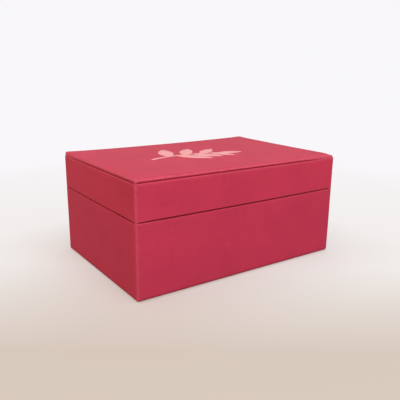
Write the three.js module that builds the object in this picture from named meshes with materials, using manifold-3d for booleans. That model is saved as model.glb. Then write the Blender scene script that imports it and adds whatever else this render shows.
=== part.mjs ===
// Cloth-covered keepsake box with a hinged lid, made the way a box maker makes one: greyboard
// plates taped at the corners and wrapped in cloth, lined with cloth-covered cards that stand
// above the rim as a neck, and shut by a lid on a cloth hinge. The lid is the same kind of tray
// as the base, turned over, with a separately covered panel glued on top.
// Millimetres. +X runs along the front to the right, -Y faces the front and +Z is up.
// The origin lies on the table, under the middle of the box.

import * as THREE from "three";
import { mergeVertices } from "three/addons/utils/BufferGeometryUtils.js";
import Module from "manifold-3d";

const wasm = await Module();
wasm.setup();

// Overall sizes, over the cloth
const boxLength = 240;
const boxWidth = 162;
const baseHeight = 70.95;
const lidHeight = 33.35;
const rimGap = 0.9;

// Board and card thicknesses
const wallBoard = 2.5;
const floorBoard = 2.5;
const deckBoard = 2;
const panelBoard = 2.2;
const liningCard = 1.2;

// Cloth and paper thicknesses, and the glue between layers
const outerCloth = 0.5;
const liningCloth = 0.3;
const motifCloth = 0.3;
const underPaper = 0.3;
const tapePaper = 0.2;
const glueLine = 0.1;

// Corner radii in plan, the width and drop of the panel's rolled-off upper edge, and the radius
// inside a fold of cloth
const boardCorner = 0.7;
const panelCorner = 2;
const panelRollWidth = 6;
const panelRollDrop = 1.75;
const liningCorner = 0.3;
const outerFold = 0.5;
const liningFold = 0.2;
const leastCorner = 0.2;

// Turned-in cloth, the air under it round a thick board's edge, and the tape on the corners
const wrapTurnIn = 14;
const rimTurnIn = 12;
const panelTurnIn = 13;
const liningTurnIn = 6;
const edgeBed = 0.4;
const tapeLeg = 18;

// The neck, and the lid's fit over it
const neckHeight = 8;
const neckClearance = 0.6;
const neckHeadroom = 1;
const liningFit = 0.3;

// The panel, the hinge cloth and the paper underneath
const panelInset = 0.2;
const hingeMargin = 3;
const hingeFoldGap = 0.3;
const underMargin = 4;

// The sprig on the lid: the stem's shares where the leaves start and end, the leaves' lean in
// degrees, and the size of the last leaf as a share of the first
const sprigX = -19;
const sprigY = -2;
const stemLength = 88;
const stemBow = 12;
const stemWidth = 3.6;
const bareShare = 0.27;
const leafyShare = 0.95;
const leafLength = 42;
const leafWidth = 16;
const leafPairs = 3;
const leafLean = 58;
const tipShare = 0.62;

// Facets on each quarter round
const planSteps = 4;
const foldSteps = 4;
const smallSteps = 2;

// Layers that follow from the sizes above
const wallBed = glueLine + tapePaper + glueLine;
const wrapSkin = outerCloth + wallBed;
const hingeSkin = outerCloth + glueLine;
const liningThickness = liningCard + 2 * (liningCloth + glueLine);
const panelThickness = panelBoard + 2 * (outerCloth + glueLine);
const lidBoard = wallBoard + glueLine - neckClearance;
const underThickness = underPaper + glueLine;
const lidTop = baseHeight + rimGap + lidHeight;
const wrapFold = Math.min(outerFold, foldLimit(wallBed, glueLine), foldLimit(glueLine, edgeBed));

// Upper edges of cards: the linings' are cut square and the panel's is rolled off
const squareEdge = { width: 0, drop: 0 };
const rolledEdge = { width: panelRollWidth, drop: panelRollDrop };

// Outline of the wrapped walls, before the hinge cloth goes on the back
const plan = {
  length: boxLength,
  width: boxWidth - hingeSkin,
  corner: boardCorner + wallBed + outerCloth,
};

const cloth = new THREE.MeshStandardMaterial({ color: 0xbb3a52, roughness: 0.85, metalness: 0 });
const lining = new THREE.MeshStandardMaterial({ color: 0xb5384f, roughness: 0.9, metalness: 0 });
const motifPink = new THREE.MeshStandardMaterial({ color: 0xf7b1b1, roughness: 0.8, metalness: 0 });
const greyboard = new THREE.MeshStandardMaterial({ color: 0x8d867b, roughness: 0.95, metalness: 0 });
const kraft = new THREE.MeshStandardMaterial({ color: 0xa98458, roughness: 0.8, metalness: 0 });
const paper = new THREE.MeshStandardMaterial({ color: 0x8e2b40, roughness: 0.9, metalness: 0 });

// Radius inside a fold that is sure to clear a square board edge lying the two gaps below it
function foldLimit(sideGap, topGap) {
  return sideGap + topGap;
}

function piece(name, geometry, material) {
  const mesh = new THREE.Mesh(geometry, material);
  mesh.name = name;
  return mesh;
}

// Turns every triangle round if the closed surface faces inwards
function facingOut(geometry) {
  const position = geometry.attributes.position;
  const index = geometry.index.array;
  const [a, b, c] = [new THREE.Vector3(), new THREE.Vector3(), new THREE.Vector3()];
  let volume = 0;
  for (let i = 0; i < index.length; i += 3) {
    a.fromBufferAttribute(position, index[i]);
    b.fromBufferAttribute(position, index[i + 1]);
    c.fromBufferAttribute(position, index[i + 2]);
    volume += a.dot(b.cross(c));
  }
  if (volume < 0) index.reverse();
  return geometry;
}

// Skin over a row of like rings: a closed loop of rings, or a body capped by its first and last
function loft(rings, isLoop) {
  const count = rings[0].length;
  const index = [];
  const spans = isLoop ? rings.length : rings.length - 1;
  for (let r = 0; r < spans; r++) {
    const here = r * count;
    const there = ((r + 1) % rings.length) * count;
    for (let i = 0; i < count; i++) {
      const j = (i + 1) % count;
      index.push(here + i, here + j, there + j, here + i, there + j, there + i);
    }
  }
  if (!isLoop) {
    const last = (rings.length - 1) * count;
    for (let i = 1; i < count - 1; i++) {
      index.push(0, i + 1, i, last, last + i, last + i + 1);
    }
  }
  const geometry = new THREE.BufferGeometry().setFromPoints(rings.flat());
  geometry.setIndex(index);
  return facingOut(geometry);
}

// One turn round a rounded rectangle, set in from its outline by the inset
function ringAt(outline, inset, height, steps) {
  const radius = Math.max(outline.corner - inset, leastCorner);
  const reachX = outline.length / 2 - inset - radius;
  const reachY = outline.width / 2 - inset - radius;
  const ring = [];
  for (let corner = 0; corner < 4; corner++) {
    const signX = corner === 0 || corner === 3 ? 1 : -1;
    const signY = corner < 2 ? 1 : -1;
    for (let s = 0; s <= steps; s++) {
      const angle = ((corner + s / steps) * Math.PI) / 2;
      const x = signX * reachX + radius * Math.cos(angle);
      const y = signY * reachY + radius * Math.sin(angle);
      ring.push(new THREE.Vector3(x, y, height));
    }
  }
  return ring;
}

// Closed outline of a strip of cloth, from the line along the middle of its thickness
function stripOutline(middle, thickness) {
  const near = [];
  const far = [];
  middle.forEach((point, i) => {
    const before = middle[Math.max(i - 1, 0)];
    const after = middle[Math.min(i + 1, middle.length - 1)];
    const into = i > 0 ? point.clone().sub(before).normalize() : after.clone().sub(point).normalize();
    const out = after === point ? into : after.clone().sub(point).normalize();
    const along = into.clone().add(out).normalize();
    const half = thickness / 2 / along.dot(into);
    const across = new THREE.Vector2(-along.y, along.x).multiplyScalar(half);
    near.push(point.clone().add(across));
    far.unshift(point.clone().sub(across));
  });
  return [...near, ...far];
}

// Strip of cloth carried round an outline; x of its section is the inset and y the height
function clothRound(outline, middle, thickness, steps, isLoop) {
  const section = stripOutline(middle, thickness);
  return loft(section.map((p) => ringAt(outline, p.x, p.y, steps)), isLoop);
}

// A flat plate with rounded corners, square along its lower edge and with a square or rolled-off
// upper one, whose section is a quarter of an ellipse
function roundedPlate(length, width, thickness, corner, steps, edge = squareEdge) {
  const outline = { length, width, corner };
  const rings = [ringAt(outline, 0, 0, steps), ringAt(outline, 0, thickness - edge.drop, steps)];
  for (let s = 1; edge.drop > 0 && s <= steps; s++) {
    const angle = ((s / steps) * Math.PI) / 2;
    const height = thickness - edge.drop * (1 - Math.sin(angle));
    rings.push(ringAt(outline, edge.width * (1 - Math.cos(angle)), height, steps));
  }
  return loft(rings, false);
}

// A card with its corners eased and cloth drawn over its face and turned in behind, by no more
// than a third of the card. It lies in XY, with its back at Z = 0 and its face up.
function coveredCard(options) {
  const { name, length, width, card, edge, skin, material } = options;
  const { edgeGap, fold, turnIn, corner, steps } = options;
  const faceCover = skin + glueLine;
  const edgeCover = skin + edgeGap;
  const board = roundedPlate(length - 2 * edgeCover, width - 2 * edgeCover, card, corner, steps, edge);
  const boardPiece = piece(`${name}_card`, board, greyboard);
  boardPiece.position.z = faceCover;
  const half = skin / 2;
  const below = Math.min(fold, foldLimit(edgeGap, glueLine)) + half;
  const rollWidth = Math.max(below, edge.width + glueLine + half);
  const rollDrop = Math.max(below, edge.drop + glueLine + half);
  const rollFoot = card + 2 * faceCover - half - rollDrop;
  const middle = new THREE.Path();
  middle.absellipse(half + rollWidth, rollFoot, rollWidth, rollDrop, Math.PI / 2, Math.PI, false);
  middle.absarc(half + below, half + below, below, Math.PI, 1.5 * Math.PI, false);
  middle.lineTo(Math.min(turnIn, length / 3, width / 3), half);
  const outline = { length, width, corner: corner + edgeCover };
  const sheet = clothRound(outline, middle.getPoints(steps / 2), skin, steps, false);
  const group = new THREE.Group();
  group.add(boardPiece, piece(`${name}_cloth`, sheet, material));
  return group;
}

// The four walls of a tray, each seen from its own outside, turned round to its place.
// The front and back boards run through and the end boards stand between them.
function wallsOf(sideNames) {
  return sideNames.map((name, turn) => {
    const runsThrough = turn % 2 === 0;
    const span = runsThrough ? plan.length : plan.width;
    const reach = (runsThrough ? plan.width : plan.length) / 2;
    return { name, turn, runsThrough, span, reach };
  });
}

function turned(object, turn) {
  const group = new THREE.Group();
  group.rotation.z = (turn * Math.PI) / 2;
  group.add(object);
  return group;
}

function plateBoard(tray) {
  const inset = 2 * wrapSkin;
  const plate = roundedPlate(plan.length - inset, plan.width - inset, tray.plate, boardCorner, planSteps);
  const mesh = piece(`${tray.part}_${tray.plateName}_board`, plate, greyboard);
  mesh.position.z = tray.plateTop - tray.plate;
  return mesh;
}

// A board that runs through has its two outer edges sanded round; an end board is cut square
function wallBoardPiece(tray, wall) {
  const butt = wall.runsThrough ? 0 : tray.board + glueLine;
  const half = wall.span / 2 - wrapSkin - butt;
  const eased = wall.runsThrough ? boardCorner : 0;
  const shape = new THREE.Shape();
  shape.moveTo(half, tray.board);
  shape.lineTo(-half, tray.board);
  if (eased > 0) {
    shape.absarc(-half + eased, eased, eased, Math.PI, 1.5 * Math.PI, false);
    shape.absarc(half - eased, eased, eased, -Math.PI / 2, 0, false);
  } else {
    shape.lineTo(-half, 0);
    shape.lineTo(half, 0);
  }
  const bottom = tray.plateTop + glueLine;
  const depth = tray.boardTop - bottom;
  const geometry = new THREE.ExtrudeGeometry(shape, { depth, bevelEnabled: false, curveSegments: 2 });
  const mesh = piece(`${tray.part}_${wall.name}_board`, geometry, greyboard);
  mesh.position.set(0, wrapSkin - wall.reach, bottom);
  return turned(mesh, wall.turn);
}

// Paper tape folded round each upright corner of the boards
function cornerTape(tray, turn) {
  const inner = boardCorner + glueLine;
  const outer = inner + tapePaper;
  const shape = new THREE.Shape();
  shape.moveTo(tapeLeg, -outer);
  shape.lineTo(tapeLeg, -inner);
  shape.lineTo(0, -inner);
  shape.absarc(0, 0, inner, -Math.PI / 2, -Math.PI, true);
  shape.lineTo(-inner, tapeLeg);
  shape.lineTo(-outer, tapeLeg);
  shape.lineTo(-outer, 0);
  shape.absarc(0, 0, outer, Math.PI, 1.5 * Math.PI, false);
  const bottom = tray.plateTop + glueLine;
  const depth = tray.boardTop - bottom;
  const geometry = new THREE.ExtrudeGeometry(shape, { depth, bevelEnabled: false, curveSegments: 3 });
  const before = tray.sides[(turn + 3) % 4];
  const here = tray.sides[turn];
  const corner = turn % 2 === 0 ? `${here}_${before}` : `${before}_${here}`;
  const mesh = piece(`${tray.part}_${corner}_tape`, geometry, kraft);
  const wide = turn % 2 === 0;
  const reachX = (wide ? plan.length : plan.width) / 2;
  const reachY = (wide ? plan.width : plan.length) / 2;
  mesh.position.set(plan.corner - reachX, plan.corner - reachY, bottom);
  return turned(mesh, turn);
}

// One cloth: turned in over the plate, up the outside, over the rim and down inside it
function wrapCloth(tray) {
  const half = outerCloth / 2;
  const bend = wrapFold + half;
  const inside = tray.wallFace + glueLine + half;
  const middle = new THREE.Path();
  middle.moveTo(wrapTurnIn, half);
  middle.lineTo(half + bend, half);
  middle.absarc(half + bend, half + bend, bend, -Math.PI / 2, -Math.PI, true);
  middle.absarc(half + bend, tray.height - half - bend, bend, Math.PI, Math.PI / 2, true);
  middle.absarc(inside - bend, tray.height - half - bend, bend, Math.PI / 2, 0, true);
  middle.lineTo(inside, tray.height - rimTurnIn);
  const sheet = clothRound(plan, middle.getPoints(foldSteps / 2), outerCloth, planSteps, true);
  return piece(`${tray.part}_wrap`, sheet, cloth);
}

// Half of the hinge cloth: flat on the back of the tray, then bent in over the rim to the fold
function hingeLeaf(tray) {
  const half = outerCloth / 2;
  const rimRound = wrapFold + outerCloth;
  const reach = plan.width / 2;
  const foldHeight = rimRound + rimGap / 2 - hingeFoldGap / 2;
  const lean = Math.asin(Math.min(1, foldHeight / (rimRound + glueLine + outerCloth)));
  const middle = new THREE.Path();
  middle.moveTo(-reach - glueLine - half, hingeMargin);
  middle.lineTo(-reach - glueLine - half, tray.height - rimRound);
  const bend = rimRound + glueLine + half;
  middle.absarc(rimRound - reach, tray.height - rimRound, bend, Math.PI, Math.PI - lean, true);
  const section = new THREE.Shape(stripOutline(middle.getPoints(foldSteps / 2), outerCloth));
  const depth = plan.length - 2 * hingeMargin;
  const geometry = new THREE.ExtrudeGeometry(section, { depth, bevelEnabled: false });
  geometry.translate(0, 0, -depth / 2);
  const alongY = new THREE.Vector3(0, 1, 0);
  const alongZ = new THREE.Vector3(0, 0, 1);
  const alongX = new THREE.Vector3(1, 0, 0);
  geometry.applyMatrix4(new THREE.Matrix4().makeBasis(alongY, alongZ, alongX));
  return turned(piece(`${tray.part}_hinge_leaf`, geometry, cloth), 2);
}

function liningCardOf(name, length, width) {
  return coveredCard({
    name,
    length,
    width,
    card: liningCard,
    edge: squareEdge,
    skin: liningCloth,
    edgeGap: glueLine,
    fold: liningFold,
    turnIn: liningTurnIn,
    corner: liningCorner,
    steps: smallSteps,
    material: lining,
  });
}

// Covered card that lies on the plate, between the boards
function plateLining(tray) {
  const inset = 2 * (tray.wallFace + liningFit);
  const name = `${tray.part}_${tray.liningName}_lining`;
  const card = liningCardOf(name, plan.length - inset, plan.width - inset);
  card.position.z = tray.plateTop + glueLine;
  return card;
}

// Covered cards that stand on it against the walls, the end ones between the long ones
function wallLining(tray, wall) {
  const bottom = tray.plateTop + 2 * glueLine + liningThickness;
  const height = tray.liningTop - bottom;
  const endInset = tray.liningBack + liningFit + (wall.runsThrough ? 0 : liningThickness);
  const card = liningCardOf(`${tray.part}_${wall.name}_lining`, wall.span - 2 * endInset, height);
  card.rotation.x = -Math.PI / 2;
  card.position.set(0, tray.liningBack - wall.reach, bottom + height / 2);
  return turned(card, wall.turn);
}

// A tray stands on its plate, open at the top, with its outer plate face at Z = 0
function buildTray({ part, plateName, liningName, sides, plate, board, height, liningTop }) {
  const wallFace = wrapSkin + board;
  const tray = {
    part,
    plateName,
    liningName,
    sides,
    plate,
    board,
    height,
    liningTop,
    wallFace,
    plateTop: outerCloth + glueLine + plate,
    boardTop: height - outerCloth - edgeBed,
    liningBack: wallFace + glueLine + outerCloth + glueLine,
  };
  const group = new THREE.Group();
  group.add(plateBoard(tray), wrapCloth(tray), hingeLeaf(tray), plateLining(tray));
  for (const wall of wallsOf(sides)) {
    group.add(wallBoardPiece(tray, wall), wallLining(tray, wall), cornerTape(tray, wall.turn));
  }
  return group;
}

function baseTray() {
  const height = baseHeight - underThickness;
  const tray = buildTray({
    part: "base",
    plateName: "floor",
    liningName: "floor",
    sides: ["front", "right", "back", "left"],
    plate: floorBoard,
    board: wallBoard,
    height,
    liningTop: height + neckHeight,
  });
  tray.position.z = underThickness;
  return tray;
}

// Turned over about Y, so that its right side comes to the left
function lidTray() {
  const tray = buildTray({
    part: "lid",
    plateName: "deck",
    liningName: "ceiling",
    sides: ["front", "left", "back", "right"],
    plate: deckBoard,
    board: lidBoard,
    height: lidHeight,
    liningTop: lidHeight + rimGap - neckHeight - neckHeadroom,
  });
  tray.rotation.y = Math.PI;
  tray.position.z = lidTop;
  return tray;
}

function underSheet() {
  const inset = 2 * underMargin;
  const length = plan.length - inset;
  const width = plan.width - inset;
  return piece("base_under_sheet", roundedPlate(length, width, underPaper, boardCorner, smallSteps), paper);
}

function topPanel() {
  const panel = coveredCard({
    name: "top_panel",
    length: plan.length - 2 * panelInset,
    width: plan.width - 2 * panelInset,
    card: panelBoard,
    edge: rolledEdge,
    skin: outerCloth,
    edgeGap: edgeBed,
    fold: outerFold,
    turnIn: panelTurnIn,
    corner: panelCorner,
    steps: planSteps,
    material: cloth,
  });
  panel.position.z = lidTop + glueLine;
  return panel;
}

function solidOf(geometry) {
  geometry.deleteAttribute("normal");
  geometry.deleteAttribute("uv");
  const merged = mergeVertices(geometry);
  const vertProperties = new Float32Array(merged.attributes.position.array);
  const triVerts = new Uint32Array(merged.index.array);
  return new wasm.Manifold(new wasm.Mesh({ numProp: 3, vertProperties, triVerts }));
}

function geometryOf(solid) {
  const mesh = solid.getMesh();
  const geometry = new THREE.BufferGeometry();
  geometry.setAttribute("position", new THREE.BufferAttribute(mesh.vertProperties, 3));
  geometry.setIndex(new THREE.BufferAttribute(mesh.triVerts, 1));
  return geometry;
}

function flatCut(shape) {
  return new THREE.ExtrudeGeometry(shape, { depth: motifCloth, bevelEnabled: false, curveSegments: 5 });
}

// A leaf along +X, pointed at both ends and fullest before its middle. A cubic curve rises to
// three quarters of the height of its handles.
function leafCut(length, width) {
  const handle = width / 2 / 0.75;
  const shape = new THREE.Shape();
  shape.moveTo(0, 0);
  shape.bezierCurveTo(length / 4, handle, (2 * length) / 3, handle, length, 0);
  shape.bezierCurveTo((2 * length) / 3, -handle, length / 4, -handle, 0, 0);
  return flatCut(shape);
}

// A leafy sprig cut from one cloth: a bowed stem, leaves in staggered pairs and one at the tip
function sprig() {
  const half = stemLength / 2;
  const start = new THREE.Vector2(-half, -stemBow / 2);
  const bow = new THREE.Vector2(0, stemBow);
  const tip = new THREE.Vector2(half, -stemBow / 2);
  const stem = new THREE.QuadraticBezierCurve(start, bow, tip);
  const stemShape = new THREE.Shape();
  stemShape.moveTo(start.x, start.y - stemWidth / 2);
  stemShape.quadraticCurveTo(bow.x, bow.y - stemWidth / 2, tip.x, tip.y);
  stemShape.quadraticCurveTo(bow.x, bow.y + stemWidth / 2, start.x, start.y + stemWidth / 2);
  let solid = solidOf(flatCut(stemShape));
  const sideLeaves = 2 * leafPairs;
  for (let i = 0; i <= sideLeaves; i++) {
    const along = i / sideLeaves;
    const side = i === sideLeaves ? 0 : 1 - 2 * (i % 2);
    const size = THREE.MathUtils.lerp(1, tipShare, along);
    const foot = THREE.MathUtils.lerp(bareShare, leafyShare, along);
    const heading = stem.getTangent(foot).angle();
    const leaf = leafCut(leafLength * size, leafWidth * size);
    leaf.rotateZ(heading + side * size * THREE.MathUtils.degToRad(leafLean));
    leaf.translate(stem.getPoint(foot).x, stem.getPoint(foot).y, 0);
    solid = solid.add(solidOf(leaf));
  }
  const mesh = piece("motif_sprig", geometryOf(solid), motifPink);
  mesh.position.set(sprigX, sprigY, lidTop + 2 * glueLine + panelThickness);
  return mesh;
}

const box = new THREE.Group();
box.position.y = -hingeSkin / 2;
box.add(underSheet(), baseTray(), lidTray(), topPanel(), sprig());

export default box;
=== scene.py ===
"""Looks of a cloth-covered keepsake box: woven covers over its boards, a covered top panel with a
sprig cut from paler cloth, a cloth hinge, a cloth lining and a paper sheet underneath.

Shapes are worked out in millimetres and become metres in make_piece. +X runs along the front to
the right, -Y faces the front and +Z is up.
"""

import math
from types import SimpleNamespace

import bpy
import numpy as np
from mathutils import Matrix, Vector, noise
from mathutils.geometry import delaunay_2d_cdt


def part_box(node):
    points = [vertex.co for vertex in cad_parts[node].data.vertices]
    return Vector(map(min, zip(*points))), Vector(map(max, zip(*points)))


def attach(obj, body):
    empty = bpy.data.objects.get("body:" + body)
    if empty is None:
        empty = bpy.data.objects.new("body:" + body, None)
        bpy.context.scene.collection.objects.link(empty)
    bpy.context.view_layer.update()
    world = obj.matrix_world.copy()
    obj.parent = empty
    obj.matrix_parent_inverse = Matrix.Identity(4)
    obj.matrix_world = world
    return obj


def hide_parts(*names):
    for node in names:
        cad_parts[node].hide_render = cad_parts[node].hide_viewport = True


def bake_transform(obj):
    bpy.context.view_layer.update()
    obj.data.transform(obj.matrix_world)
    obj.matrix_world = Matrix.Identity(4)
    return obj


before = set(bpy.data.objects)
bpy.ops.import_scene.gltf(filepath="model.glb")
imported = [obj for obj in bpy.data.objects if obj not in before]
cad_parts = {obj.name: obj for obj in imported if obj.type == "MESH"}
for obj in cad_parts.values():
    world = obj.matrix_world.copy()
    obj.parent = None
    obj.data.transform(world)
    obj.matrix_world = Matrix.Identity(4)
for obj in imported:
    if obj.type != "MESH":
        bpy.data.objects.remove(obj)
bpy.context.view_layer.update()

# Millimetres in a metre
MM = 1000

# The map that lays the weave out, in metres of cloth, and the attribute that holds its wear and
# painted shade: worn paler where it is above zero, which round the lid's plate and the panel's
# rolled edge is also a painted highlight, and darkened with painted shade where it is below, in
# the seams and folds
WEAVE_MAP = "weave"
WEAR_AND_SHADE = "wear"

# Numbers of the straight sides of an outline, and of its corners
BACK, LEFT, FRONT, RIGHT = range(4)
CORNER = -1

# Cloth thicknesses, pressed on with glue
COVER = 0.38
PANEL_COVER = 0.3
LINING = 0.25
SPRIG = 0.3
GLUE = 0.1

# Cloth turned in under the box, inside the rims, under the panel, behind the lining and behind the
# neck, below the rim
UNDER_TURN_IN = 14
RIM_TURN_IN = 12
PANEL_TURN_IN = 13
LINING_TURN_IN = 6
NECK_TURN_IN = 12

# Radii of the upright corners, and the least that is left of one further in
COVER_CORNER = 1.6
PANEL_CORNER = 2.9
LINING_CORNER = 0.7
PAPER_CORNER = 0.8
LEAST_CORNER = 0.15

# Stations on the way round an outline: their distances from the ends of a side, their spacing
# further along it and their steps round a corner
OUTSIDE = dict(near=(0.5, 1.2, 2, 3.2, 5, 8), pitch=6, steps=8)
INSIDE = dict(near=(0.6, 2, 5), pitch=14, steps=3)
UNDERSIDE = dict(near=(1, 3, 7), pitch=12, steps=3)

# Sag of the rims halfway along the back, left, front and right sides
RIM_SAG = np.array((0.0, 0.25, 0.42, 0.25))

# How much the rims thicken towards the seam: at the corners, where folded cloth closes it, along
# the left at its back end, and near the ends of the front and the right
CORNER_BULK = 0.41
LEFT_BULK = 0.22
END_BULK = 0.08

# Radii of the folds of the covers: over the rim at a corner, what the rims of the base and the lid
# and both gain away from it, inside the rim, and round the edge of the plate
RIM_FOLD = 0.45
BASE_RIM_GAIN = 0.3
LID_RIM_GAIN = 0.5
SIDE_RIM_GAIN = 0.15
INNER_FOLD = 0.7
PLATE_FOLD = 1.5

# What the plate's fold loses across the floor and gains up the wall at the foot of the base, away
# from the corners, and what it loses on the lid where the crease under the panel is shut
FOOT_LOSS = 0.4
FOOT_GAIN = 2.3
SHUT_LOSS = 1.35

# The least radius of the inner side of a fold, in a cover and over a card
LEAST_COVER_FOLD = 0.06
LEAST_CARD_FOLD = 0.04

# The top panel: how far its middle lies below its full height, its rise towards the two ends,
# the back and the right back corner, and its drop at the worn right front corner
MIDDLE_DROP = 0.25
PANEL_DISH = 0.7
BACK_LIFT = 0.45
CORNER_LIFT = 0.5
WORN_DROP = 0.9

# Width and drop of the panel's rolled upper edge, what they lose at the crisp and the worn corner,
# and the radius of its lower edge with what that loses where the crease is shut
ROLL = 6.0, 1.65
CRISP_LOSS = 3.6
WORN_LOSS = 0.2
PANEL_FOLD = 1.3
PANEL_FOLD_LOSS = 1.2

# How far past where it starts the painted shade in the seams and folds takes to deepen
SHADE_REACH = 0.35

# Painted shade in the seams and folds, which multiplies the cloth's colours to a deeper red
SEAM_SHADE = (0.84, 0.3, 0.42, 1)

# The sprig on the panel
SPRIG_AT = (-19, -2.3)
STEM_LENGTH = 88
STEM_BOW = 12
STEM_WIDTH = 3.6
BARE_SHARE = 0.27
LEAFY_SHARE = 0.95
LEAF_LENGTH = 42
LEAF_WIDTH = 16
LEAF_LEAN = 58
LEAF_PAIRS = 3
TIP_SHARE = 0.62

# The studio: what shows behind the box, the light from the left and from elsewhere, the floor
# towards the camera and away from it, and what the floor throws back at the box
BACKDROP = (0.947, 0.93, 0.956, 1)
WARM_SIDE = (1.02, 0.65, 0.47, 1)
COOL_SIDE = (1.0, 0.99, 1.0, 1)
FLOOR_NEAR = (0.7, 0.61, 0.54, 1)
FLOOR_FAR = (0.91, 0.9, 0.89, 1)
FLOOR_BOUNCE = (0.47, 0.43, 0.41, 1)

# The camera: azimuth, elevation and roll in degrees, the point it looks past, its distance from
# that and how far it stands to the right and up, in metres, and its lens
CAMERA_TURN = -34.83, 14.902, 0.608
CAMERA_AIM = (0, 0, 0.05438)
CAMERA_BACK, CAMERA_RIGHT, CAMERA_UP = 0.54186, 0.00088, 0.00231
SENSOR, LENS = 36.0, 44.307


def box_mm(node):
    low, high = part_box(node)
    return np.array(low) * MM, np.array(high) * MM


def fade(distance, reach, power=2):
    """1 at no distance, falling smoothly to 0 beyond the reach."""
    return np.exp(-((distance / reach) ** power))


def drift(points, wavelength, seed):
    """Smooth random heights from about -1 to 1 at each of the points."""
    apart = Vector((seed, 0.37 * seed, 0))
    return np.array([noise.noise(Vector(p / wavelength) + apart) for p in points])


def drift_over(plan, wavelength, seed):
    """Smooth random heights over points of a plan."""
    return drift(np.column_stack([plan, np.zeros(len(plan))]), wavelength, seed)


def stops(length, near, pitch):
    """Shares of a straight run at which it has points, closer together near its ends."""
    near = np.array([n for n in near if n < length / 3])
    count = max(2, round((length - 2 * near[-1]) / pitch) + 1)
    inner = np.linspace(near[-1], length - near[-1], count)[1:-1]
    return np.concatenate([near, inner, length - near[::-1]]) / length


def place(way, inset, height):
    """Points of the stations at a height, set in from the outline."""
    corner = np.maximum(way.corner - inset, LEAST_CORNER)
    x = way.share_x * (way.half_x - inset - corner) + way.out_x * corner + way.centre_x
    y = way.share_y * (way.half_y - inset - corner) + way.out_y * corner + way.centre_y
    return np.stack([x, y, np.broadcast_to(height, x.shape)], -1)


def way_round(low, high, corner, near, pitch, steps):
    """Stations on the way round an oblong with rounded corners, anticlockwise seen from above:
    the back right corner, the back, and so on to the right side. A station's place is its share
    of the straight reaches plus its turn of the corner."""
    half_x, half_y = (high[0] - low[0]) / 2, (high[1] - low[1]) / 2
    signs = [(1, 1), (-1, 1), (-1, -1), (1, -1)]
    rows = []
    for k in range(4):
        here, there = np.array(signs[k]), np.array(signs[(k + 1) % 4])
        for s in range(steps + 1):
            angle = (k + s / steps) * math.pi / 2
            off = abs(s / steps - 0.5) * corner * math.pi / 2
            rows.append((*here, math.cos(angle), math.sin(angle), off, 0.0, CORNER))
        length = 2 * ((half_x, half_y)[k % 2] - corner)
        angle = (k + 1) * math.pi / 2
        for f in stops(length, near, pitch):
            share = here * (1 - f) + there * f
            off = min(f, 1 - f) * length + corner * math.pi / 4
            middle = 1 - (2 * f - 1) ** 2
            rows.append((*share, math.cos(angle), math.sin(angle), off, middle, k))
    share_x, share_y, out_x, out_y, to_corner, middle, side = np.array(rows).T
    way = SimpleNamespace(half_x=half_x, half_y=half_y, corner=corner, count=len(rows))
    way.centre_x, way.centre_y = (low[0] + high[0]) / 2, (low[1] + high[1]) / 2
    way.share_x, way.share_y, way.out_x, way.out_y = share_x, share_y, out_x, out_y
    way.to_corner, way.middle, way.side = to_corner, middle, side.astype(int)
    line = place(way, np.zeros(way.count), 0.0)
    way.plan = line[:, :2]
    way.run = np.concatenate([[0], np.cumsum(np.linalg.norm(np.diff(line, axis=0), axis=1))])
    way.around = way.run[-1] + np.linalg.norm(line[0] - line[-1])
    return way


def near_corner(way, reach):
    return fade(way.to_corner, reach)


def bent(way, bends, runs, steps):
    """Section of a cloth at every station: straight runs between bends of (inset, height, radius),
    or (inset, height, radius before, radius after) where a bend is longer one way. runs says at
    which shares each run has points. Gives (inset, height) by row and station."""
    full = [(*bend[:3], bend[-1]) for bend in bends]
    spots = np.array([[np.broadcast_to(v, way.count) for v in bend] for bend in full], float)
    at = spots[:, :2].transpose(0, 2, 1)
    before, after = (spots[:, k][:, :, None] for k in (2, 3))
    rows = []
    for i in range(len(bends)):
        if 0 < i < len(bends) - 1:
            back, on = at[i - 1] - at[i], at[i + 1] - at[i]
            back /= np.linalg.norm(back, axis=1)[:, None]
            on /= np.linalg.norm(on, axis=1)[:, None]
            back, on = back * before[i], on * after[i]
            for angle in np.linspace(0, math.pi / 2, steps + 1):
                rows.append(at[i] + back * (1 - math.sin(angle)) + on * (1 - math.cos(angle)))
        else:
            rows.append(at[i])
        if i < len(runs):
            start, toward = rows[-1], at[i + 1] - at[i]
            toward = toward / np.linalg.norm(toward, axis=1)[:, None]
            stop = at[i + 1] - toward * before[i + 1]
            rows += [start + (stop - start) * f for f in runs[i]]
    return np.array(rows)


def lengthwise(section):
    """Distance along a section, row by row, at its average station."""
    steps = np.linalg.norm(np.diff(section, axis=0), axis=2).mean(axis=1)
    return np.concatenate([[0], np.cumsum(steps)])


def puckered(way, section, amounts, wavelength, seed):
    """Moves the rows of a section gently out and in, square to the cloth."""
    ahead = np.gradient(section, axis=0)
    ahead /= np.linalg.norm(ahead, axis=2)[:, :, None] + 1e-9
    out = np.stack([-ahead[:, :, 1], ahead[:, :, 0]], -1)
    moved = section.copy()
    for i, amount in enumerate(amounts):
        points = place(way, section[i, :, 0], section[i, :, 1])
        swell = drift(points, wavelength, seed) + 0.4 * drift(points, wavelength / 3.3, seed + 40)
        moved[i] += out[i] * (amount * swell)[:, None]
    return moved


def is_inside_out(points, faces):
    """Whether a closed surface of triangles and quads faces inwards."""
    thirds = [(f[0], f[1], f[2]) for f in faces]
    thirds += [(f[0], f[2], f[3]) for f in faces if len(f) == 4]
    a, b, c = (np.asarray(points)[np.array(thirds)[:, k]] for k in range(3))
    return (a * np.cross(b, c)).sum() < 0


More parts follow.
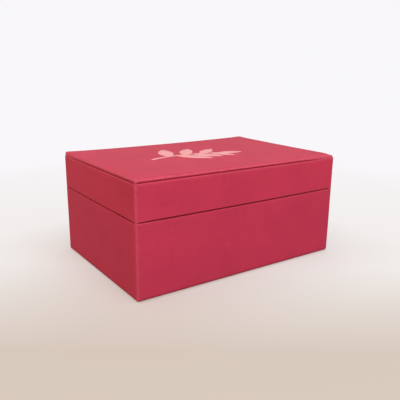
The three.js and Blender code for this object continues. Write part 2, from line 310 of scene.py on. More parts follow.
def make_piece(name, points, faces, uvs, wear, material):
    """A smooth closed mesh from points in millimetres. uvs holds, for each corner of each face,
    its place in millimetres of cloth, and wear has a value for each point: wear, on some edges
    also a painted highlight, above zero, and painted shade below."""
    if is_inside_out(points, faces):
        faces = [f[::-1] for f in faces]
        uvs = [u[::-1] for u in uvs]
    mesh = bpy.data.meshes.new(name)
    mesh.from_pydata([tuple(p) for p in np.asarray(points) / MM], [], faces)
    flat = np.array([corner for face in uvs for corner in face]) / MM
    mesh.uv_layers.new(name=WEAVE_MAP).data.foreach_set("uv", flat.astype(np.float32).ravel())
    # Wear, painted highlights and painted shade, for the cloth's material
    rub_and_shade = mesh.attributes.new(WEAR_AND_SHADE, "FLOAT", "POINT")
    rub_and_shade.data.foreach_set("value", np.asarray(wear, np.float32).ravel())
    mesh.materials.append(material)
    mesh.polygons.foreach_set("use_smooth", [True] * len(faces))
    mesh.update()
    piece = bpy.data.objects.new(name, mesh)
    bpy.context.scene.collection.objects.link(piece)
    return piece


def looped(way, rows, along):
    """Points, faces and cloth places of rows carried round the way, the last row joined to the
    first."""
    count = way.count
    points = np.concatenate([place(way, row[:, 0], row[:, 1]) for row in rows])
    run = np.append(way.run, way.around)
    faces, uvs = [], []
    for i in range(len(rows)):
        k = (i + 1) % len(rows)
        for j in range(count):
            m = (j + 1) % count
            faces.append((i * count + j, i * count + m, k * count + m, k * count + j))
            uvs.append(((run[j], along[i]), (run[j + 1], along[i]),
                        (run[j + 1], along[k]), (run[j], along[k])))
    return points, faces, uvs


def capped(way, rows, along, first_face, last_face, face_inset):
    """Points, faces and cloth places of a body that lies in the way: rows from one face round its
    edge to the other, each face a grid whose height is given by a function of its points."""
    count = way.count
    rim = [place(way, row[:, 0], row[:, 1]) for row in rows]
    out = np.stack([way.out_x, way.out_y], -1)
    points = list(np.concatenate(rim))
    flat = list(np.concatenate([rim[0][:, :2] + out * a for a in along]))
    faces = []
    for i in range(len(rows) - 1):
        here, on = i * count, (i + 1) * count
        for j in range(count):
            m = (j + 1) % count
            faces.append((here + j, here + m, on + m, on + j))
    grid_x = np.concatenate([[-1], way.share_x[way.side == FRONT], [1]])
    grid_y = np.concatenate([[-1], way.share_y[way.side == RIGHT], [1]])
    x = grid_x * (way.half_x - face_inset) + way.centre_x
    y = grid_y * (way.half_y - face_inset) + way.centre_y
    wide, deep = len(x), len(y)
    plan = np.stack(np.meshgrid(x, y, indexing="ij"), -1).reshape(-1, 2)
    # The point of the grid beside each station
    beside = np.empty(count, int)
    beside[way.side == BACK] = (wide - 2 - np.arange(wide - 2)) * deep + deep - 1
    beside[way.side == LEFT] = deep - 2 - np.arange(deep - 2)
    beside[way.side == FRONT] = (1 + np.arange(wide - 2)) * deep
    beside[way.side == RIGHT] = (wide - 1) * deep + 1 + np.arange(deep - 2)
    turn = way.side == CORNER
    at_right, at_back = way.share_x[turn] > 0, way.share_y[turn] > 0
    beside[turn] = at_right * (wide - 1) * deep + at_back * (deep - 1)
    for ring, height, flip in ((0, first_face, True), (len(rows) - 1, last_face, False)):
        base = len(points)
        points += list(np.column_stack([plan, height(plan)]))
        flat += list(plan)
        found = []
        for j in range(count):
            m = (j + 1) % count
            a, b = ring * count + j, ring * count + m
            c, d = base + beside[m], base + beside[j]
            found.append((a, b, c) if c == d else (a, b, c, d))
        for i in range(wide - 1):
            for j in range(deep - 1):
                k = base + i * deep + j
                found.append((k, k + deep, k + deep + 1, k + 1))
        faces += [f[::-1] for f in found] if flip else found
    return np.array(points), faces, [[flat[i] for i in face] for face in faces]


class Nodes:
    """The nodes of a material or a world, with short calls for the kinds used here."""

    def __init__(self, owner):
        owner.use_nodes = True
        self.owner, self.tree = owner, owner.node_tree
        self.tree.nodes.clear()

    def feed(self, socket, value):
        if isinstance(value, bpy.types.NodeSocket):
            self.tree.links.new(value, socket)
        else:
            socket.default_value = value

    def add(self, kind, inputs, **settings):
        node = self.tree.nodes.new("ShaderNode" + kind)
        for key, value in settings.items():
            setattr(node, key, value)
        for key, value in inputs.items():
            self.feed(node.inputs[key], value)
        return node

    def math(self, operation, *values, **settings):
        inputs = dict(enumerate(values))
        return self.add("Math", inputs, operation=operation, **settings).outputs[0]

    def vector(self, operation, *values):
        """A vector, or a number where the operation gives one."""
        out = self.add("VectorMath", dict(enumerate(values)), operation=operation).outputs
        return out["Value" if operation in ("LENGTH", "DOT_PRODUCT") else "Vector"]

    def noise(self, vector, scale, detail=2.0, out="Fac"):
        inputs = {"Vector": vector, "Scale": scale, "Detail": detail}
        return self.add("TexNoise", inputs).outputs[out]

    def blend(self, share, first, second):
        """A number from first to second."""
        inputs = {"Value": share, "To Min": first, "To Max": second}
        return self.add("MapRange", inputs).outputs["Result"]

    def rise(self, value, start, end):
        """0 up to start, and from there evenly up to 1 at end."""
        inputs = {"Value": value, "From Min": start, "From Max": end}
        return self.add("MapRange", inputs).outputs["Result"]

    def seen(self):
        """1 for rays from the camera and for reflected or transmitted ones, which show what they
        hit."""
        path = self.add("LightPath", {}).outputs
        direct = self.math("MAXIMUM", path["Is Camera Ray"], path["Is Glossy Ray"])
        return self.math("MAXIMUM", direct, path["Is Transmission Ray"])

    def mix(self, share, first, second, how="MIX"):
        node = self.add("Mix", {0: share}, data_type="RGBA", blend_type=how)
        self.feed(node.inputs[6], first)
        self.feed(node.inputs[7], second)
        return node.outputs[2]

    def shade(self, colour, roughness, height, depth, **constants):
        bump = self.add("Bump", {"Height": height, "Distance": depth, "Strength": 1.0})
        shader = self.add("BsdfPrincipled", {"Base Color": colour, "Roughness": roughness})
        for key, value in constants.items():
            shader.inputs[key.replace("_", " ")].default_value = value
        self.tree.links.new(bump.outputs["Normal"], shader.inputs["Normal"])
        output = self.add("OutputMaterial", {"Surface": shader.outputs[0]})
        output.is_active_output = True
        return self.owner


def grey(value):
    return (value, value, value, 1.0)


def woven(name, deep, light, worn, pitch, relief, roughness):
    """Plain weave: warp and weft threads that pass over each other by turns, uneven in thickness
    and dye, with painted shade where they dip. Worn paler where the piece's wear is above zero,
    which on some edges is also a painted highlight, and darkened with painted shade below zero."""
    n = Nodes(bpy.data.materials.new(name))
    lie = n.add("UVMap", {}, uv_map=WEAVE_MAP).outputs[0]
    where = n.add("TexCoord", {}).outputs["Object"]
    # Threads one unit apart, which stray a little
    thread = n.vector("MULTIPLY", lie, (1 / pitch, 1 / pitch, 0))
    stray = n.noise(thread, 0.05, 1.0, "Color")
    thread = n.vector("MULTIPLY_ADD", stray, (1.2, 1.2, 0), thread)
    across = n.add("SeparateXYZ", {0: thread}).outputs
    ridges = []
    for k in range(2):
        ridges.append(n.math("ABSOLUTE", n.math("SINE", n.math("MULTIPLY", across[k], math.pi))))
    warp, weft = ridges
    over = n.add("TexChecker", {"Vector": thread, "Scale": 1.0}).outputs["Fac"]
    warp_over = n.math("MULTIPLY", warp, n.blend(weft, 0.5, 1.0))
    weft_over = n.math("MULTIPLY", weft, n.blend(warp, 0.5, 1.0))
    height = n.blend(over, warp_over, weft_over)
    # Thicker threads and uneven dye
    slub_warp = n.noise(n.vector("MULTIPLY", thread, (0.7, 0.015, 0)), 1.0, 1.0)
    slub_weft = n.noise(n.vector("MULTIPLY", thread, (0.015, 0.7, 0)), 1.0, 1.0)
    slub = n.math("MULTIPLY", n.math("ADD", slub_warp, slub_weft), 0.5)
    mottle = n.noise(where, 28.0, 3.0)
    tone = n.math("ADD", n.blend(slub, -0.35, 0.75), n.blend(mottle, -0.1, 0.7))
    colour = n.mix(tone, deep, light)
    # Painted shade: darker where the threads dip under each other
    colour = n.mix(n.math("SUBTRACT", 1.0, height), colour, grey(0.7), "MULTIPLY")
    # Worn places, on some edges also a painted highlight, and painted shade in the seams and folds
    wear = n.add("Attribute", {}, attribute_name=WEAR_AND_SHADE).outputs["Fac"]
    uneven = n.blend(n.noise(where, 260.0, 3.0), -0.15, 1.35)
    rub_and_highlight = n.math("MULTIPLY", wear, uneven, use_clamp=True)
    shade_share = n.math("MULTIPLY", wear, -1.0, use_clamp=True)
    colour = n.mix(n.math("MULTIPLY", rub_and_highlight, 0.55), colour, worn)
    colour = n.mix(shade_share, colour, SEAM_SHADE, "MULTIPLY")
    gloss = n.blend(slub, roughness - 0.08, roughness + 0.08)
    relieved = n.math("ADD", height, n.math("MULTIPLY", slub, 1.2))
    return n.shade(colour, gloss, relieved, relief, Sheen_Weight=0.2, Sheen_Roughness=0.25,
                   Sheen_Tint=(1.0, 0.95, 0.95, 1.0), Specular_IOR_Level=0.04)


def pressed_fibre(name, deep, light, scale, relief, roughness):
    """Board or paper: pressed fibres with darker and paler flecks."""
    n = Nodes(bpy.data.materials.new(name))
    where = n.add("TexCoord", {}).outputs["Object"]
    cloud = n.noise(where, scale, 5.0)
    fleck = n.noise(n.vector("MULTIPLY", where, (1.0, 3.5, 1.0)), scale * 9, 3.0)
    tone = n.math("ADD", n.math("MULTIPLY", cloud, 0.6), n.blend(fleck, -0.3, 0.7))
    gloss = n.blend(fleck, roughness - 0.08, roughness + 0.08)
    return n.shade(n.mix(tone, deep, light), gloss, fleck, relief, Specular_IOR_Level=0.25)


CRIMSON = woven("crimson_cloth", (0.5, 0.041, 0.087, 1), (0.69, 0.056, 0.118, 1),
                (0.67, 0.185, 0.235, 1), pitch=0.00045, relief=0.00005, roughness=0.78)
# The base's cloth, a slightly darker red than the lid's
CRIMSON_BASE = woven("crimson_cloth_base", (0.476, 0.04, 0.087, 1), (0.656, 0.0545, 0.118, 1),
                     (0.64, 0.17, 0.22, 1), pitch=0.00045, relief=0.00005, roughness=0.78)
LINING_RED = woven("lining_cloth", (0.5, 0.03, 0.064, 1), (0.67, 0.042, 0.09, 1),
                   (0.7, 0.15, 0.19, 1), pitch=0.00036, relief=0.00003, roughness=0.72)
PINK = woven("sprig_cloth", (0.86, 0.375, 0.4, 1), (0.95, 0.485, 0.5, 1),
             (0.98, 0.66, 0.66, 1), pitch=0.0004, relief=0.00004, roughness=0.8)
GREYBOARD = pressed_fibre("greyboard", (0.17, 0.15, 0.125, 1), (0.36, 0.33, 0.28, 1),
                          scale=160, relief=0.00006, roughness=0.9)
KRAFT = pressed_fibre("kraft_tape", (0.3, 0.175, 0.08, 1), (0.47, 0.29, 0.14, 1),
                      scale=220, relief=0.00003, roughness=0.78)
PAPER = pressed_fibre("under_paper", (0.2, 0.016, 0.04, 1), (0.31, 0.03, 0.062, 1),
                      scale=300, relief=0.00003, roughness=0.85)


panel_low, panel_high = box_mm("top_panel_cloth")


def off_corner(plan, x, y):
    """Distance of points of a plan from a corner of the panel."""
    return np.linalg.norm(plan - np.array([x, y]), axis=1)


def at_worn_corner(plan, reach):
    return fade(off_corner(plan, panel_high[0], panel_low[1]), reach, power=4)


def shut_crease(way):
    """How far the crease under the panel is shut, from 0 to 1: at its corners, more widely round
    the worn one and partly near the left back one."""
    partly = 0.6 * fade(off_corner(way.plan, panel_low[0], panel_high[1]), 35)
    return np.maximum.reduce([near_corner(way, 1.6), at_worn_corner(way.plan, 30), partly])


def rim_height(way, low, high, up, corner):
    """Height of a rim over its plate. Both rims sag together, and thicken towards the seam."""
    sag = np.where(way.side == CORNER, 0, RIM_SAG[way.side] * way.middle)
    backward = (way.plan[:, 1] - low[1]) / (high[1] - low[1])
    bulk = np.where(way.side == LEFT, LEFT_BULK * backward, END_BULK * near_corner(way, 22))
    bulk = np.maximum(CORNER_BULK * corner, bulk * (way.side > BACK))
    return high[2] - low[2] - up * sag + bulk


def tray_wear(way, inset, height, rim, tall, up):
    """Wear and painted shade of a cover: worn at the corners, round the plate and along the rim,
    where round the lid's plate the paler edge is also a painted highlight, and painted shade where
    the cloth turns in, into the seam and under the plate. On the lid's plate, under the crease
    below the panel, the painted shade starts further in than elsewhere."""
    # Worn corners and plate edge; on the lid's top edge, below the panel, also a painted highlight
    wear = np.maximum(0.6 * near_corner(way, 1.7)[None, :], 0.8 * fade(inset + height, 1.4))
    rim_wear = 0.2 + 0.5 * near_corner(way, 15)
    wear = np.maximum(wear, rim_wear * fade(inset + np.abs(rim - height), 1.0))
    # Painted shade, a deeper red, where the cloth turns in past these insets
    shade_start = np.where((height < tall / 2) & (up < 0), 0.35, 0.1)
    painted_shade = 1 - fade(np.maximum(inset - shade_start, 0), SHADE_REACH)
    return wear * (1 - painted_shade) - painted_shade


def tray_cover(name, node, board, up, cloth, seed):
    """The cloth round the base or the lid: turned in over the plate, along the walls, over the rim
    and down inside. Heights are measured from the plate towards the rim, up or down."""
    low, high = box_mm(node)
    way = way_round(low, high, COVER_CORNER, **OUTSIDE)
    plate, tall = (low[2] if up > 0 else high[2]), high[2] - low[2]
    wall = box_mm(board)[1][1] - low[1]
    inside = wall + GLUE + COVER
    corner = np.maximum(near_corner(way, 2.6), at_worn_corner(way.plan, 5))
    rim = rim_height(way, low, high, up, corner)
    gain = BASE_RIM_GAIN if up > 0 else LID_RIM_GAIN
    fold = RIM_FOLD + gain * (1 - corner) + SIDE_RIM_GAIN * (1 - near_corner(way, 10))
    if up > 0:
        straight = 1 - near_corner(way, 4)
        plate_fold = PLATE_FOLD - FOOT_LOSS * straight, PLATE_FOLD + FOOT_GAIN * straight
    else:
        plate_fold = (PLATE_FOLD - SHUT_LOSS * shut_crease(way),) * 2
    end = tall - RIM_TURN_IN
    bends = [(UNDER_TURN_IN, 0, 0), (0, 0, *plate_fold), (0, rim, fold),
             (inside, rim, INNER_FOLD), (inside, end, 0)]
    wall_stops = stops(tall, (1.9, 2.8, 4.5), 6)
    outer = bent(way, bends, [(0.35, 0.7, 0.93), wall_stops, (0.5,), (0.12, 0.5)], 6)
    t = COVER
    plate_fold = [np.maximum(radius - t, LEAST_COVER_FOLD) for radius in plate_fold]
    under = [(UNDER_TURN_IN, t, 0), (t, t, *plate_fold), (t, rim - t, fold - t),
             (inside - t, rim - t, INNER_FOLD - t), (inside - t, end, 0)]
    inner = bent(way, under, [(), (0.04, 0.5, 0.96), (), ()], 3)
    inset, height = outer[:, :, 0], outer[:, :, 1]
    wear = tray_wear(way, inset, height, rim, tall, up)
    wear = np.concatenate([wear, np.zeros((len(inner), way.count))])
    amounts = np.where(inset.mean(axis=1) < 0.6, 0.1, 0.03)
    rows = np.concatenate([puckered(way, outer, amounts, 34, seed), inner[::-1]])
    rows[:, :, 1] = plate + up * rows[:, :, 1]
    along = np.concatenate([lengthwise(outer), lengthwise(inner)[::-1]])
    points, faces, uvs = looped(way, rows, along)
    cover = make_piece(name, points, faces, uvs, wear, cloth)
    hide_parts(node)
    return cover


def panel_top(plan):
    """Height of the panel's cloth over points of its plan: a slight dish along the box, with the
    back lifted, most at its right corner, and the right front corner worn down."""
    rise = PANEL_DISH * (plan[:, 0] / panel_high[0]) ** 2
    swell = 0.05 * drift_over(plan, 38, 21)
    lifted = CORNER_LIFT * fade(off_corner(plan, panel_high[0], panel_high[1]), 70)
    backward = (plan[:, 1] - panel_low[1]) / (panel_high[1] - panel_low[1])
    lifted += BACK_LIFT * backward**2
    worn = WORN_DROP * at_worn_corner(plan, 9)
    return panel_high[2] - MIDDLE_DROP + rise + swell + lifted - worn


def covered_card(name, way, t, top, bottom, roll, fold, turn_in, faces_at, material, wear):
    """A cloth over the face and the edges of a card, turned in behind it. faces_at gives the height
    of its outer face over points of the plan, roll the width and drop of its rounded upper edge
    and fold the radius of its lower one. The upper edges are worn paler as far as wear says, which
    on the panel's rolled edge is also a painted highlight; the lower fold and the turn-in get
    painted shade."""
    wide, drop = roll
    step = 2.6
    start = np.max(wide) + step
    bends = [(start, top, 0), (0, top, wide, drop), (0, bottom, fold), (turn_in, bottom, 0)]
    outer = bent(way, bends, [(0.5, 0.85), (0.5,), (0.2, 0.6)], 8)
    wide, drop, under_fold = (np.maximum(r - t, LEAST_CARD_FOLD) for r in (wide, drop, fold))
    under = [(start, top - t, 0), (t, top - t, wide, drop), (t, bottom + t, under_fold),
             (turn_in, bottom + t, 0)]
    inner = bent(way, under, [(), (), ()], 4)
    rows = np.concatenate([outer, inner[::-1]])
    along = np.concatenate([lengthwise(outer), lengthwise(inner)[::-1]])
    points, faces, uvs = capped(way, rows, along, faces_at, lambda plan: faces_at(plan) - t,
                                start + step)
    inset, height = outer[:, :, 0], outer[:, :, 1]
    upper = height > bottom + 0.9 * fold
    # Worn upper edges; across the panel's rolled edge the paler band is also a painted highlight
    edge = np.maximum(0.9 * fade(inset, 1.5), 0.3 * fade(inset, 5)) * upper
    edge = np.maximum(edge, near_corner(way, 2) * (inset < 3) * upper)
    # Painted shade under the lower fold and on the turn-in
    painted_shade = (1 - fade(inset, SHADE_REACH)) * ~upper
    rub_and_shade = np.zeros(len(points))
    rub_and_shade[:edge.size] = (wear * edge - painted_shade).ravel()
    return make_piece(name, points, faces, uvs, rub_and_shade, material)


def panel_cover():
    """The cloth over the top panel, crisp at its two back corners."""
    way = way_round(panel_low, panel_high, PANEL_CORNER, **OUTSIDE)
    back_corners = [off_corner(way.plan, x, panel_high[1]) for x in (panel_low[0], panel_high[0])]
    crisp = fade(np.minimum(*back_corners), 14)
    shut = shut_crease(way)
    roll = ROLL[0] - CRISP_LOSS * crisp, ROLL[1] - WORN_LOSS * at_worn_corner(way.plan, 12)
    bottom = panel_low[2] + 0.1 - 0.2 * shut
    fold = PANEL_FOLD - PANEL_FOLD_LOSS * shut
    cover = covered_card("panel_cover", way, PANEL_COVER, panel_top(way.plan), bottom, roll, fold,
                         PANEL_TURN_IN, panel_top, CRIMSON, 1.0)
    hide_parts("top_panel_cloth")
    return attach(cover, "lid")


def lining_cover(part, side, facing):
    """Cloth over one lining card, which faces into the box."""
    node = f"{part}_{side}_lining_cloth"
    low, high = box_mm(node)
    face = np.array(facing, float)
    first = np.array([1.0, 0, 0]) if facing[2] else np.cross((0, 0, 1.0), face)
    turn = np.array([first, np.cross(face, first), face])
    half = np.abs(turn @ (high - low)) / 2
    way = way_round(-half, half, LINING_CORNER, **INSIDE)
    top, bottom = np.full(way.count, half[2]), np.full(way.count, -half[2])
    seed = 60 + sum(map(ord, node))

    def faces_at(plan):
        return half[2] + 0.04 * drift_over(plan, 30, seed)

    turn_in = NECK_TURN_IN if part == "base" and not facing[2] else LINING_TURN_IN
    cover = covered_card(f"{part}_{side}_lining", way, LINING, top, bottom, (0.5, 0.5), 0.4,
                         turn_in, faces_at, LINING_RED, 0.5)
    spot = Vector((low + high) / (2 * MM))
    cover.data.transform(Matrix.Translation(spot) @ Matrix(turn.T.tolist()).to_4x4())
    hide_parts(node)
    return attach(cover, part)


def two_sided(outer, inner):
    """Points and faces of a sheet between two grids of points, closed all round its edges."""
    rows, columns = outer.shape[:2]
    half = rows * columns
    points = np.concatenate([outer.reshape(-1, 3), inner.reshape(-1, 3)])
    at = np.arange(half).reshape(rows, columns)
    faces = []
    for i in range(rows - 1):
        for j in range(columns - 1):
            a, b, c, d = at[i, j], at[i, j + 1], at[i + 1, j + 1], at[i + 1, j]
            faces += [(a, b, c, d), (d + half, c + half, b + half, a + half)]
    edge = [*at[0, ::-1], *at[1:, 0], *at[-1, 1:], *at[-2:0:-1, -1]]
    for a, b in zip(edge, edge[1:] + edge[:1]):
        faces.append((a, b, b + half, a + half))
    return points, faces


def hinge_line(low, high, base_rim, seam):
    """The middle of the hinge cloth's thickness, as (y, z) from its lower end to its upper one: up
    the base, round its rim into the seam and out again, and up the lid."""
    radius = 1.0
    mid = high[1] - COVER / 2
    turn = radius + GLUE + COVER / 2
    centre = np.array([high[1] - COVER - GLUE - radius, base_rim - radius])
    heights = np.concatenate([[low[2], low[2] + 1.5], np.arange(low[2] + 6, base_rim - 4, 6)])
    lower = [(mid, z) for z in heights] + [(mid, base_rim - 2.2)]
    for angle in np.linspace(0, math.radians(50), 8):
        lower.append(centre + turn * np.array([math.cos(angle), math.sin(angle)]))
    last = lower[-1]
    halfway = last[0] + centre[0] + turn * math.cos(math.radians(66)), last[1] + seam
    lower.append((halfway[0] / 2, halfway[1] / 2))
    lower.append((centre[0] + turn * math.cos(math.radians(64)), seam))
    lower = np.array(lower)
    upper = lower[:-1][::-1] * (1, -1) + (0, 2 * seam)
    upper = upper[upper[:, 1] < high[2] - 1]
    return np.concatenate([lower, upper, [(mid, high[2] - 1.2), (mid, high[2])]])


def hinge_cover():
    """One cloth on the back of the base and the lid. It dips into the seam between the rims, along
    the line of the hinge."""
    low, high = box_mm("base_hinge_leaf")[0], box_mm("lid_hinge_leaf")[1]
    base_rim, lid_rim = box_mm("base_wrap")[1][2], box_mm("lid_wrap")[0][2]
    seam = (base_rim + lid_rim) / 2
    line = hinge_line(low, high, base_rim, seam)
    ahead = np.gradient(line, axis=0)
    ahead /= np.linalg.norm(ahead, axis=1)[:, None]
    out = np.stack([ahead[:, 1], -ahead[:, 0]], -1)
    ends = [low[0], low[0] + 0.3], [high[0] - 0.3, high[0]]
    x = np.concatenate([ends[0], np.linspace(low[0], high[0], 40)[1:-1], ends[1]])
    grids = []
    for side in (1, -1):
        section = line + out * side * COVER / 2
        grids.append(np.array([[(across, y, z) for across in x] for y, z in section]))
    face = grids[0]
    swell = drift(face.reshape(-1, 3), 26, 77).reshape(face.shape[:2])
    face[:, :, 1] += 0.06 * swell * (np.abs(face[:, :, 2] - seam) > 3)
    points, faces = two_sided(*grids)
    along = np.concatenate([[0], np.cumsum(np.linalg.norm(np.diff(line, axis=0), axis=1))])
    lie = np.stack(np.meshgrid(along, x, indexing="ij"), -1)[:, :, ::-1].reshape(-1, 2)
    lie = np.tile(lie, (2, 1))
    from_ends = np.minimum(x - low[0], high[0] - x)[None, :]
    edge = np.minimum(from_ends, np.minimum(along, along[-1] - along)[:, None])
    wear = np.maximum(0.5 * fade(edge, 0.8), 0.6 * fade(line[:, 1] - seam, 2.2)[:, None])
    piece = make_piece("hinge_cloth", points, faces, [[lie[i] for i in f] for f in faces],
                       np.tile(wear.ravel(), 2), CRIMSON)
    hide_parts("base_hinge_leaf", "lid_hinge_leaf")
    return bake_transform(piece)


def under_paper():
    """The paper glued over the turned-in cloth underneath."""
    low, high = box_mm("base_under_sheet")
    way = way_round(low, high, PAPER_CORNER, **UNDERSIDE)
    tall = high[2] - low[2]
    shape = [(0.12, 0), (0, 0.08), (0, tall - 0.06), (0.12, tall)]
    rows = np.array([np.tile(spot, (way.count, 1)) for spot in shape]) + (0, low[2])
    heights = [lambda plan: np.full(len(plan), low[2]), lambda plan: np.full(len(plan), high[2])]
    points, faces, uvs = capped(way, rows, lengthwise(rows), *heights, 2.0)
    sheet = make_piece("under_sheet", points, faces, uvs, np.zeros(len(points)), PAPER)
    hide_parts("base_under_sheet")
    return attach(sheet, "base")


def curve(points, count):
    """A smooth curve of the second or third order through a row of control points."""
    t = np.linspace(0, 1, count)[:, None]
    spots = [np.array(p, float) for p in points]
    while len(spots) > 1:
        spots = [a * (1 - t) + b * t for a, b in zip(spots, spots[1:])]
    return spots[0]


def sprig_outlines():
    """Outlines of the stem and its leaves, on alternate sides and at the tip, on the panel."""
    half, width = STEM_LENGTH / 2, STEM_WIDTH / 2
    start, bow, tip = np.array([[-half, -STEM_BOW / 2], [0, STEM_BOW], [half, -STEM_BOW / 2]])
    lower = curve((start - (0, width), bow - (0, width), tip), 40)
    upper = curve((tip, bow + (0, width), start + (0, width)), 40)
    outlines = [np.concatenate([lower, upper[1:]])]
    for i in range(2 * LEAF_PAIRS + 1):
        share = i / (2 * LEAF_PAIRS)
        side = 0 if i == 2 * LEAF_PAIRS else 1 - 2 * (i % 2)
        size = 1 + (TIP_SHARE - 1) * share
        foot = BARE_SHARE + (LEAFY_SHARE - BARE_SHARE) * share
        spot = start * (1 - foot) ** 2 + bow * 2 * foot * (1 - foot) + tip * foot**2
        along = (bow - start) * (1 - foot) + (tip - bow) * foot
        angle = math.atan2(along[1], along[0]) + side * size * math.radians(LEAF_LEAN)
        length, handle = LEAF_LENGTH * size, LEAF_WIDTH * size / 1.5
        one = curve(((0, 0), (length / 4, handle), (2 * length / 3, handle), (length, 0)), 22)
        other = one[::-1][1:-1] * (1, -1)
        cos, sin = math.cos(angle), math.sin(angle)
        outlines.append(np.concatenate([one, other]) @ np.array([[cos, sin], [-sin, cos]]) + spot)
    return [o + SPRIG_AT for o in outlines]


def edge_loop(triangles):
    """The border of a patch of triangles, as one loop of points in order."""
    once = {}
    for t in triangles:
        for a, b in zip(t, (*t[1:], t[0])):
            if (b, a) in once:
                del once[b, a]
            else:
                once[a, b] = True
    after = dict(once.keys())
    loop = [min(after)]
    while after[loop[-1]] != loop[0]:
        loop.append(after[loop[-1]])
    return loop


def sprig_patch():
    """The outlines joined into one patch: its points, with more of them inside, its triangles, and
    the lowest and highest corner of its border."""
    outlines = sprig_outlines()
    first = np.cumsum([0] + [len(o) for o in outlines])
    polygons = [list(range(a, b)) for a, b in zip(first, first[1:])]
    spots = [Vector(p) for p in np.concatenate(outlines)]
    points, _, triangles, *_ = delaunay_2d_cdt(spots, [], polygons, 1, 1e-4)
    border = np.array([points[i] for i in edge_loop(triangles)])
    border = border[np.linalg.norm(np.roll(border, -1, axis=0) - border, axis=1) > 0.05]
    low, high = border.min(axis=0), border.max(axis=0)
    across, along = (np.arange(a, b, 2.2) for a, b in zip(low, high))
    inside = np.stack(np.meshgrid(across, along), -1).reshape(-1, 2)
    apart = np.linalg.norm(inside[:, None] - border[None], axis=2).min(axis=1) > 0.7
    spots = [Vector(p) for p in np.concatenate([border, inside[apart]])]
    found = delaunay_2d_cdt(spots, [], [list(range(len(border)))], 1, 1e-5)
    points, triangles = np.array(found[0]), found[2]
    used = sorted({i for t in triangles for i in t})
    renumber = {old: new for new, old in enumerate(used)}
    return points[used], [tuple(renumber[i] for i in t) for t in triangles], low, high


def sprig_cloth():
    """The leafy sprig, cut from one paler cloth and glued to the panel."""
    points, triangles, low, high = sprig_patch()
    loop = edge_loop(triangles)
    ring = points[loop]
    ahead = np.roll(ring, -1, axis=0) - np.roll(ring, 1, axis=0)
    ahead /= np.linalg.norm(ahead, axis=1)[:, None]
    inward = np.stack([-ahead[:, 1], ahead[:, 0]], -1)
    seat = panel_top(points)
    bottom = np.column_stack([points, seat])
    raised = np.column_stack([ring, seat[loop] + SPRIG * 0.6])
    top = np.column_stack([points, seat + SPRIG])
    top[loop, :2] += inward * 0.1
    count, turns = len(points), len(loop)
    faces = [t[::-1] for t in triangles]
    faces += [tuple(i + count + turns for i in t) for t in triangles]
    for j in range(turns):
        m = (j + 1) % turns
        faces.append((loop[j], loop[m], count + m, count + j))
        faces.append((count + j, count + m, count + turns + loop[m], count + turns + loop[j]))
    every = np.concatenate([bottom, raised, top])
    wear = np.concatenate([np.zeros(count), np.ones(turns), np.zeros(count)])
    wear[count + turns + np.array(loop)] = 0.8
    lie = [[every[i][:2] for i in f] for f in faces]
    piece = make_piece("sprig", every, faces, lie, wear, PINK)
    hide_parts("motif_sprig")
    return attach(piece, "lid")


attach(tray_cover("base_cover", "base_wrap", "base_front_board", 1, CRIMSON_BASE, 3), "base")
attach(tray_cover("lid_cover", "lid_wrap", "lid_front_board", -1, CRIMSON, 11), "lid")
panel_cover()
sprig_cloth()
hinge_cover()
under_paper()
WALLS = {"front": (0, 1, 0), "back": (0, -1, 0), "left": (1, 0, 0), "right": (-1, 0, 0)}
for part, plate, facing in (("base", "floor", (0, 0, 1)), ("lid", "ceiling", (0, 0, -1))):
    for side, inward in {plate: facing, **WALLS}.items():
        lining_cover(part, side, inward)
for name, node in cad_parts.items():
    for ending, material in (("_board", GREYBOARD), ("_card", GREYBOARD), ("_tape", KRAFT)):
        if name.endswith(ending):
            node.data.materials.clear()
            node.data.materials.append(material)


def floor_material():
    """Pale and a little browner towards the camera. It is partly lit, more so close to the box,
    where it keeps the shadow, and partly shows its plain colour, which meets the backdrop."""
    n = Nodes(bpy.data.materials.new("floor"))
    where = n.add("TexCoord", {}).outputs["Object"]
    away = n.vector("DOT_PRODUCT", where, (0.568, 0.823, 0))
    near = n.rise(away, -0.21, -0.05)
    far = n.rise(away, 0.0, 0.6)
    far = n.math("MAXIMUM", far, n.rise(n.vector("LENGTH", where), 0.29, 0.6))
    colour = n.mix(near, FLOOR_NEAR, FLOOR_FAR)
    colour = n.mix(far, colour, BACKDROP)
    lit = n.mix(1.0, colour, grey(0.74), "MULTIPLY")
    solid = n.add("BsdfDiffuse", {"Color": n.mix(n.seen(), FLOOR_BOUNCE, lit)})
    glow = n.add("Emission", {"Color": colour, "Strength": 1.0})
    # Distance from the underside of the box
    beside = n.vector("SUBTRACT", n.vector("ABSOLUTE", where), (0.1165, 0.0808, 0))
    beside = n.vector("LENGTH", n.vector("MAXIMUM", beside, (0, 0, 0)))
    clear = n.rise(beside, 0.0, 0.004)
    open_air = n.rise(beside, 0.0, 0.1)
    clear = n.math("MULTIPLY", clear, n.blend(open_air, 0.5, 1.0))
    share = n.math("MULTIPLY", n.math("MULTIPLY", n.seen(), clear), n.blend(far, 0.78, 1.0))
    surface = n.add("MixShader", {0: share, 1: solid.outputs[0], 2: glow.outputs[0]})
    n.add("OutputMaterial", {"Surface": surface.outputs[0]})
    return n.owner


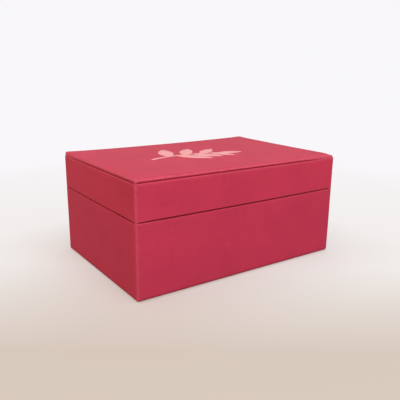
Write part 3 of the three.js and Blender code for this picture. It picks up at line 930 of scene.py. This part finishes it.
def surroundings():
    """Soft light from all round, warmer from the left, and the plain backdrop that shows."""
    n = Nodes(bpy.data.worlds.new("studio"))
    toward = n.add("SeparateXYZ", {0: n.add("TexCoord", {}).outputs["Generated"]}).outputs[0]
    colour = n.mix(n.rise(toward, -0.7, 0.3), WARM_SIDE, COOL_SIDE)
    light = n.add("Background", {"Color": colour, "Strength": 0.9})
    backdrop = n.add("Background", {"Color": BACKDROP, "Strength": 1.0})
    both = n.add("MixShader", {0: n.seen(), 1: light.outputs[0], 2: backdrop.outputs[0]})
    n.add("OutputWorld", {"Surface": both.outputs[0]})
    return n.owner


def studio():
    """A plain pale floor, soft light from all round and a large soft lamp above the front."""
    mesh = bpy.data.meshes.new("floor")
    mesh.from_pydata([(-4, -4, 0), (4, -4, 0), (4, 4, 0), (-4, 4, 0)], [], [(0, 1, 2, 3)])
    mesh.materials.append(floor_material())
    floor = bpy.data.objects.new("floor", mesh)
    bpy.context.scene.collection.objects.link(floor)
    bpy.context.scene.world = surroundings()
    lamp = bpy.data.lights.new("softbox", "AREA")
    lamp.shape, lamp.size, lamp.size_y = "RECTANGLE", 1.15, 0.8
    lamp.energy = 7.6
    softbox = bpy.data.objects.new("softbox", lamp)
    softbox.location = (-0.29, -0.78, 0.95)
    toward = Vector((0, 0, 0.05)) - softbox.location
    softbox.rotation_euler = toward.to_track_quat("-Z", "Y").to_euler()
    bpy.context.scene.collection.objects.link(softbox)


def camera():
    """Stands where the photographer stood: to the left of the front, a little above the lid."""
    azimuth, elevation, roll = (math.radians(v) for v in CAMERA_TURN)
    level = Vector((math.cos(azimuth), math.sin(azimuth), 0))
    back = Vector((math.sin(azimuth) * math.cos(elevation),
                   -math.cos(azimuth) * math.cos(elevation), math.sin(elevation)))
    steep = back.cross(level)
    right = level * math.cos(roll) + steep * math.sin(roll)
    up = steep * math.cos(roll) - level * math.sin(roll)
    lens = bpy.data.cameras.new("camera")
    lens.sensor_width, lens.lens = SENSOR, LENS
    view = bpy.data.objects.new("camera", lens)
    eye = Vector(CAMERA_AIM) + back * CAMERA_BACK + right * CAMERA_RIGHT + up * CAMERA_UP
    view.matrix_world = Matrix.Translation(eye) @ Matrix((right, up, back)).transposed().to_4x4()
    bpy.context.scene.collection.objects.link(view)
    bpy.context.scene.camera = view


studio()
camera()
bpy.context.scene.view_settings.view_transform = "Standard"
